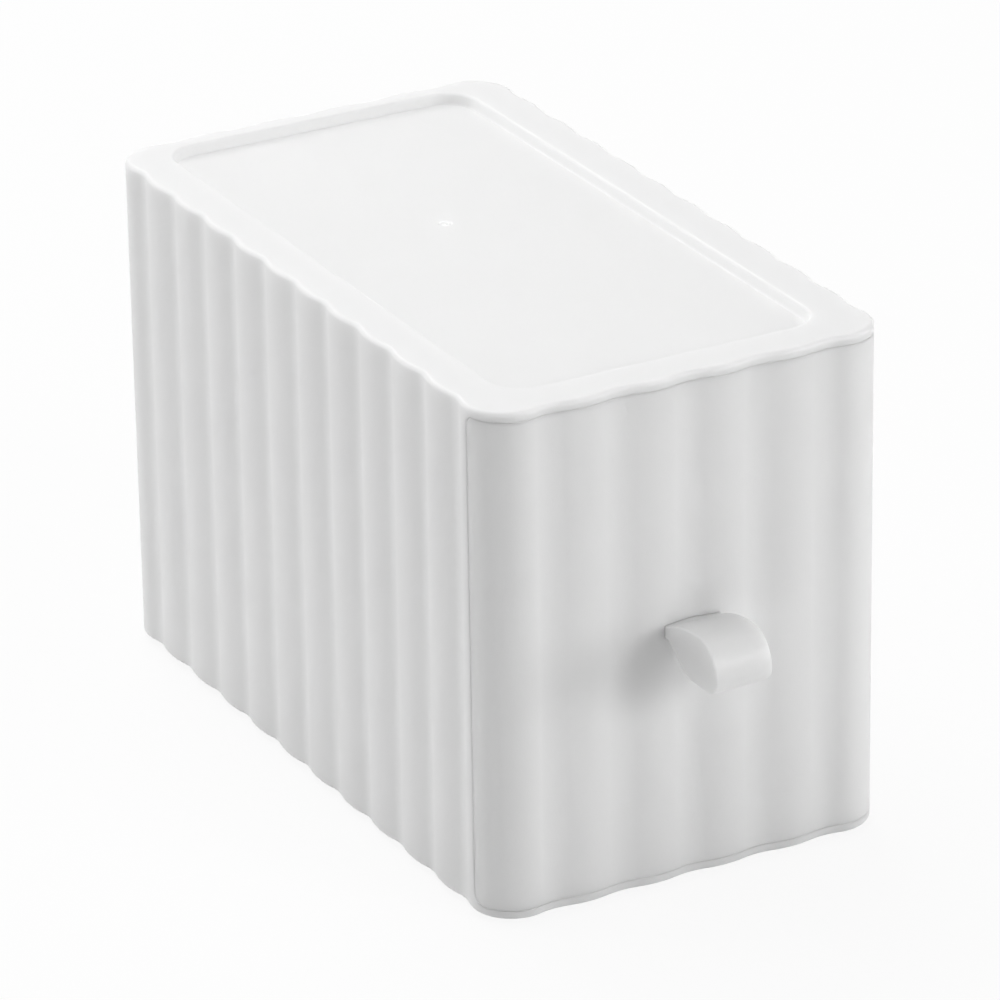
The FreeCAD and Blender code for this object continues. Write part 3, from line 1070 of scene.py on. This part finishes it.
@dataclass
class FingerPull:
    """The finger pull: a thick tongue that swells out of a narrow tang and curls down to a nose.

    Its profile is measured from the front's crests along Y and from the casing's underside up.

    Attributes:
        front, base: Where those two are.
        reach, bottom, crown: How far out its nose is, and its lowest and highest levels.
        heel_out, heel_radius, heel_turn: Where the flat belly ends, and the bend up from there.
        root_radius: Radius of the inner corners between tongue and tang.
        barb_root, barb_rise: Where the barbs start along the tang, and how far they stand out.
        twist: How far it is turned about its length at the nose.
        pole: Middle of the side faces, from which their rows spread.
    """

    finish: Finish
    front: float = -66.2
    base: float = 1.0
    half_width: float = 5.8
    reach: float = 18.2
    bottom: float = 44.6
    crown: float = 54.6
    top_radius: float = 24.0
    nose_radius: float = 3.7
    heel_out: float = 9.6
    heel_radius: float = 7.0
    heel_turn: float = math.radians(37.5)
    tang_top: float = 51.8
    tang_bottom: float = 49.3
    tang_end: float = 4.0
    tang_radius: float = 0.4
    root_radius: float = 0.001
    barb_root: float = 2.85
    barb_rise: float = 0.8
    edge: float = 0.35
    twist: float = math.radians(1.8)
    pole: tuple[float, float] = (-10.0, 50.4)
    profile_points: int = 260
    across_points: int = 12
    side_shares: tuple[float, ...] = (0.0, 0.5, 0.97)

    def path(self) -> Path:
        """Side profile, walked from the start of the flat belly round the nose and over the top.

        Returns:
            Path in a plane with y to the right and z up.
        """
        crown_radius = self.crown - self.bottom - self.nose_radius
        top_centre = self.crown - self.top_radius
        fall = QUARTER - math.asin((self.tang_top - top_centre) / self.top_radius)
        root = crown_radius - self.reach + self.top_radius * math.sin(fall)
        heel_level = self.bottom + self.heel_radius * (1 - math.cos(self.heel_turn))
        ramp = (self.tang_bottom - heel_level) / math.sin(self.heel_turn)
        heel_end = -self.heel_out + self.heel_radius * math.sin(self.heel_turn)
        ramp_end = heel_end + ramp * math.cos(self.heel_turn)
        stretches = np.array([
            [self.reach - self.nose_radius - self.heel_out, 0.0],
            [self.nose_radius * QUARTER, -QUARTER],
            [crown_radius * QUARTER, -QUARTER],
            [self.top_radius * fall, -fall],
            [self.root_radius * fall, fall],
            [self.tang_end - root - self.tang_radius, 0.0],
            [self.tang_radius * QUARTER, -QUARTER],
            [self.tang_top - self.tang_bottom - 2 * self.tang_radius, 0.0],
            [self.tang_radius * QUARTER, -QUARTER],
            [self.tang_end - ramp_end - self.tang_radius, 0.0],
            [self.root_radius * self.heel_turn, self.heel_turn],
            [ramp, 0.0],
            [self.heel_radius * self.heel_turn, -self.heel_turn]])
        return Path((-self.heel_out, self.bottom), math.pi, stretches[:, 0], stretches[:, 1])

    def profile(self, inset: float) -> Array:
        """Points of the profile, close together on the bends.

        Args:
            inset: How far in they are moved.

        Returns:
            Array of two columns.
        """
        path = self.path()
        knots = path.knots()
        even = np.linspace(knots[0], knots[-1], self.profile_points)
        points, right = path.at(np.unique(np.concatenate([even[:-1], knots[:-1]])))
        return points + right * inset

    def twisted(self, points: Array) -> Array:
        """Points turned about the pull's length, by nothing at its root and most at its nose.

        Formula: the angle grows with the distance out of the front, and x and z - pole turn by it.

        Args:
            points: Points of the straight pull.

        Returns:
            Array of the same shape.
        """
        angle = -self.twist * np.clip(-points[..., 1] / self.reach, 0.0, 1.0)
        x, y, z = points[..., 0], points[..., 1], points[..., 2] - self.pole[1]
        cos, sin = np.cos(angle), np.sin(angle)
        return np.stack([x * cos + z * sin, y, z * cos - x * sin + self.pole[1]], axis=-1)

    def build(self) -> bpy.types.Object:
        """Build the pull and dress it.

        Returns:
            The new object.
        """
        turn = quarter_steps(SOME)
        flat = self.half_width - self.edge
        bulge, sink = flat + self.edge * np.sin(turn), self.edge * (1 - np.cos(turn))
        between = np.linspace(-flat, flat, self.across_points)[1:-1]
        across = np.concatenate([-bulge[::-1], between, bulge])
        inset = np.concatenate([sink[::-1], np.zeros(len(between)), sink])
        rows = [np.insert(self.profile(depth), 0, x, axis=-1) for x, depth in zip(across, inset)]
        pole = np.array(self.pole)
        first, last = [[np.insert(pole + (row[:, 1:] - pole) * share, 0, row[0, 0], axis=-1)
                        for share in self.side_shares] for row in (rows[0], rows[-1])]
        grid = self.twisted(np.stack(first + rows + last[::-1])) + [0.0, self.front, self.base]
        pull = Surface()
        pull.add(grid)
        for level, rise in ((self.tang_bottom, -self.barb_rise), (self.tang_top, self.barb_rise)):
            barb = np.array([(self.barb_root, level - rise / 2), (self.barb_root, level + rise),
                             (self.tang_end, level), (self.tang_end, level - rise / 2)])
            pull.add(bar(barb + [self.front, self.base], -self.half_width, self.half_width))
        return pull.build("finger_pull", self.finish.material())


@dataclass
class Tray:
    """The drawer's bin.

    Attributes:
        outside: Outline of its outer wall.
        spine_half: Half of the middle line from which the rows of its floor spread.
        runner_spread, runner_setback: How far the runners are from the middle and from its ends.
        lug_front, lug_length, lug_flat, lug_rise: The stop lugs on its side walls.
        sunk: How far the runners go into it.
    """

    finish: Finish
    outside: RoundedRectangle = RoundedRectangle(38.5, 72.3, 4.0, (0.0, 8.7))
    bottom: float = 3.75
    top: float = 95.6
    wall: float = 1.6
    rim: float = 0.5
    foot_edge: float = 0.4
    floor_radius: float = 1.4
    spine_half: float = 30.0
    ring_points: int = 108
    window_half: float = 6.5
    window_bottom: float = 48.8
    window_top: float = 54.3
    runner_half: float = 1.5
    runner_spread: float = 28.0
    runner_bottom: float = 2.95
    runner_setback: float = 4.0
    lug_front: float = 59.7
    lug_length: float = 3.0
    lug_flat: float = 1.0
    lug_rise: float = 1.5
    sunk: float = 0.2

    def plan(self) -> list[tuple[RoundedRectangle, float]]:
        """Profile of the bin from the middle of the underside up over the rim and down to its floor.

        Returns:
            Outlines and levels.
        """
        spine = replace(self.outside, half_width=0.0, half_depth=self.spine_half, radius=0.0)
        inside = self.outside.grown(-self.wall)
        floor = self.bottom + self.wall
        rim = rounded(self.rim, SOME)
        rows = [(spine, self.bottom)]
        rows += [(self.outside.grown(-inset), self.bottom + lift)
                 for lift, inset in rounded(self.foot_edge, SOME)]
        rows += [(self.outside, level) for level in (self.window_bottom, self.window_top)]
        rows += [(self.outside.grown(-inset), self.top - drop) for inset, drop in rim]
        rows += [(inside.grown(out), self.top - drop) for drop, out in rim]
        rows += [(inside, level) for level in (self.window_top, self.window_bottom)]
        rows += [(inside.grown(-inset), floor + lift) for inset, lift in rounded(self.floor_radius, SOME)]
        return rows + [(spine, floor)]

    def add_bin(self, tray: Surface) -> None:
        """Add the bin, with a window in its front wall.

        The window's faces are left out of the outer and the inner wall, and four small faces join both
        rims of it.

        Args:
            tray: What the bin is added to.
        """
        plan = self.plan()
        window = self.window_half / (self.outside.half_width - self.outside.radius)
        even = np.linspace(0.0, STRETCHES, self.ring_points, endpoint=False)
        shares = np.sort(np.append(even, [window, STRETCHES - window]))
        grid = np.stack([raised(shape.at(shares), level) for shape, level in plan])
        rows = np.flatnonzero([level == self.window_bottom for _, level in plan])
        across = np.concatenate([np.flatnonzero(shares >= STRETCHES - window),
                                 np.flatnonzero(shares <= window)])
        holes = np.zeros(grid.shape[:2], bool)[:-1]
        holes[[rows[0], rows[1] - 1]] = np.isin(np.arange(len(shares)), across[:-1])
        tray.add(grid, holes=holes)
        rims = [np.concatenate([grid[low, across], grid[high, across[::-1]]])
                for low, high in ((rows[0], rows[0] + 1), (rows[1], rows[1] - 1))]
        tray.add(np.stack(rims))

    def build(self) -> bpy.types.Object:
        """Build the bin with its runners and stop lugs, and dress it.

        Returns:
            The new object.
        """
        tray = Surface()
        self.add_bin(tray)
        front = self.outside.centre[1] - self.outside.half_depth + self.runner_setback
        rear = self.outside.centre[1] + self.outside.half_depth - self.runner_setback
        root = self.bottom + self.sunk
        runner = [(front, root), (front, self.runner_bottom), (rear, self.runner_bottom), (rear, root)]
        lug = [(self.lug_front, self.top - self.wall), (self.lug_front, self.top + self.lug_rise),
               (self.lug_front + self.lug_flat, self.top + self.lug_rise),
               (self.lug_front + self.lug_length, self.top - self.wall)]
        outer = self.outside.half_width - self.sunk / 2
        inner = self.outside.half_width - self.wall + self.sunk / 2
        for middle in (-self.runner_spread, self.runner_spread):
            tray.add(bar(runner, middle - self.runner_half, middle + self.runner_half))
        tray.add(bar(lug, inner, outer))
        tray.add(bar(lug, -outer, -inner))
        return tray.build("pad_tray", self.finish.material())


# ---- studio

@dataclass(frozen=True)
class Lamp:
    """A square softbox.

    Attributes:
        name: Name of the lamp.
        direction: Where it stands, as seen from the holder.
        distance: How far away, in metres.
        size: Side of the square, in metres.
        power: Power in watts.
    """

    name: str
    direction: tuple[float, float, float]
    distance: float
    size: float
    power: float

    def build(self, target: Vector) -> None:
        """Hang the lamp and point it at the target.

        Args:
            target: Place in metres.
        """
        light = bpy.data.lights.new(self.name, "AREA")
        light.size = self.size
        light.energy = self.power
        lamp = bpy.data.objects.new(self.name, light)
        way = Vector(self.direction).normalized()
        lamp.location = target + way * self.distance
        lamp.rotation_euler = way.to_track_quat("Z", "Y").to_euler()
        bpy.context.scene.collection.objects.link(lamp)


@dataclass
class Studio:
    """Camera, lamps, world and floor. Lengths are metres.

    Attributes:
        roll: How far the camera leans.
        lens, sensor: Focal length and sensor width in millimetres.
        clip: Nearest and farthest distance that the camera shows.
        ambient: Strength of the soft light from all round.
        floor_white: How white the floor is to the camera and in reflections. The rest keeps the shadow.
    """

    position: tuple[float, float, float] = (-0.54206, -0.99294, 0.56007)
    target: tuple[float, float, float] = (0.0, 0.00592, 0.04843)
    roll: float = math.radians(-0.924)
    lens: float = 237.02
    sensor: float = 36.0
    clip: tuple[float, float] = (0.01, 100.0)
    ambient: float = 0.354
    floor_half: float = 6.0
    floor_grey: float = 0.8
    floor_white: float = 0.9
    lamps: tuple[Lamp, ...] = (
        Lamp("key_softbox", (0.49, -1.0, 0.45), 1.6, 0.5, 6.67),
        Lamp("overhead_softbox", (-0.1, 0.2, 1.0), 1.6, 1.2, 9.22),
        Lamp("rear_softbox", (0.1, 0.9, 1.0), 1.8, 1.2, 12.06),
        Lamp("left_softbox", (-1.0, 0.1, 0.3), 1.8, 0.9, 3.04),
        Lamp("rear_left_softbox", (-0.8, 0.8, 0.35), 1.8, 0.9, 7.7),
        Lamp("low_right_softbox", (1.0, -0.7, 0.1), 1.8, 0.9, 9.84),
    )

    def build_camera(self) -> None:
        """Place the camera, looking from the front left and above."""
        camera = bpy.data.cameras.new("camera")
        camera.lens = self.lens
        camera.sensor_width = self.sensor
        camera.clip_start, camera.clip_end = self.clip
        eye = bpy.data.objects.new("camera", camera)
        back = (Vector(self.position) - Vector(self.target)).normalized()
        right = Vector((0, 0, 1)).cross(back).normalized()
        up = back.cross(right)
        axes = (math.cos(self.roll) * right + math.sin(self.roll) * up,
                math.cos(self.roll) * up - math.sin(self.roll) * right, back)
        turned = Matrix(axes).transposed().to_4x4()
        eye.matrix_world = Matrix.Translation(self.position) @ turned
        bpy.context.scene.collection.objects.link(eye)
        bpy.context.scene.camera = eye

    def build_floor(self) -> None:
        """Lay a wide pale floor that shows nearly white to the camera and keeps a faint shadow."""
        mesh = bpy.data.meshes.new("floor")
        half = self.floor_half
        corners = [(-half, -half, 0), (half, -half, 0), (half, half, 0), (-half, half, 0)]
        mesh.from_pydata(corners, [], [(0, 1, 2, 3)])
        floor = bpy.data.objects.new("floor", mesh)
        bpy.context.scene.collection.objects.link(floor)
        bench = Bench.named("studio_floor")
        matte = bench.node("ShaderNodeBsdfDiffuse", {"Color": (*[self.floor_grey] * 3, 1.0)})
        white = bench.node("ShaderNodeEmission", {"Color": (1.0, 1.0, 1.0, 1.0), "Strength": 1.0})
        share = bench.seen() * self.floor_white
        mixed = bench.node("ShaderNodeMixShader", {0: share, 1: matte.outputs[0], 2: white.outputs[0]})
        mesh.materials.append(bench.finish(mixed))

    def build_world(self) -> None:
        """Light everything softly from all round, and show white to the camera."""
        world = bpy.data.worlds.new("studio")
        bpy.context.scene.world = world
        bench = Bench(world)
        soft = bench.node("ShaderNodeBackground", {"Strength": self.ambient})
        white = bench.node("ShaderNodeBackground", {"Strength": 1.0})
        shaders = {0: bench.seen(), 1: soft.outputs[0], 2: white.outputs[0]}
        mixed = bench.node("ShaderNodeMixShader", shaders)
        bench.node("ShaderNodeOutputWorld", {"Surface": mixed.outputs[0]})

    def build(self) -> None:
        """Set up the whole studio."""
        self.build_camera()
        self.build_floor()
        self.build_world()
        for lamp in self.lamps:
            lamp.build(Vector(self.target))
        bpy.context.scene.view_settings.view_transform = "Standard"


# ---- main

OPENING_LEVELS = (2.78, 99.25)      # bottom and top of the drawer front's opening
OPENING_RADII = (2.75, 1.35)        # radii of its lower and its upper corners
GAP = Border(0.05, 0.05, 0.03)      # gap between the opening and the drawer front


def seat(piece: bpy.types.Object, body: Body, node: str) -> None:
    """Put a piece on its body and let it stand for its node.

    Args:
        piece: The piece.
        body: What it moves with.
        node: The solid whose place it takes.
    """
    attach(piece, body.value)
    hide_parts(node)
    LOG.info("%s rides on %s", piece.name, body.value)


def main() -> None:
    """Build every sub-assembly in order, dress the foot pads and set up the studio."""
    logging.basicConfig(level=logging.INFO, format="%(message)s")
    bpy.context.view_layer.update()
    outline = FlutedOutline()
    opening = Panel(outline.crossing(Casing.seam), *OPENING_LEVELS, *OPENING_RADII)
    front = Fascia(outline, opening.grown(GAP, -1.0), replace(WHITE, name="drawer_plastic"))
    seat(Casing(outline, opening, WHITE).build(), Body.CASING, "outer_casing")
    seat(front.build(), Body.DRAWER, "drawer_front")
    pull = FingerPull(replace(WHITE, name="pull_plastic"))
    seat(pull.build(), Body.DRAWER, "pull_tab")
    tray = Tray(replace(WHITE, name="tray_plastic"))
    seat(tray.build(), Body.DRAWER, "drawer_tray")
    rubber = RUBBER.material()
    for name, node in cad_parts.items():
        if name.startswith("foot_pad"):
            node.data.materials.clear()
            node.data.materials.append(rubber)
    Studio().build()


if __name__ == "__main__":
    main()
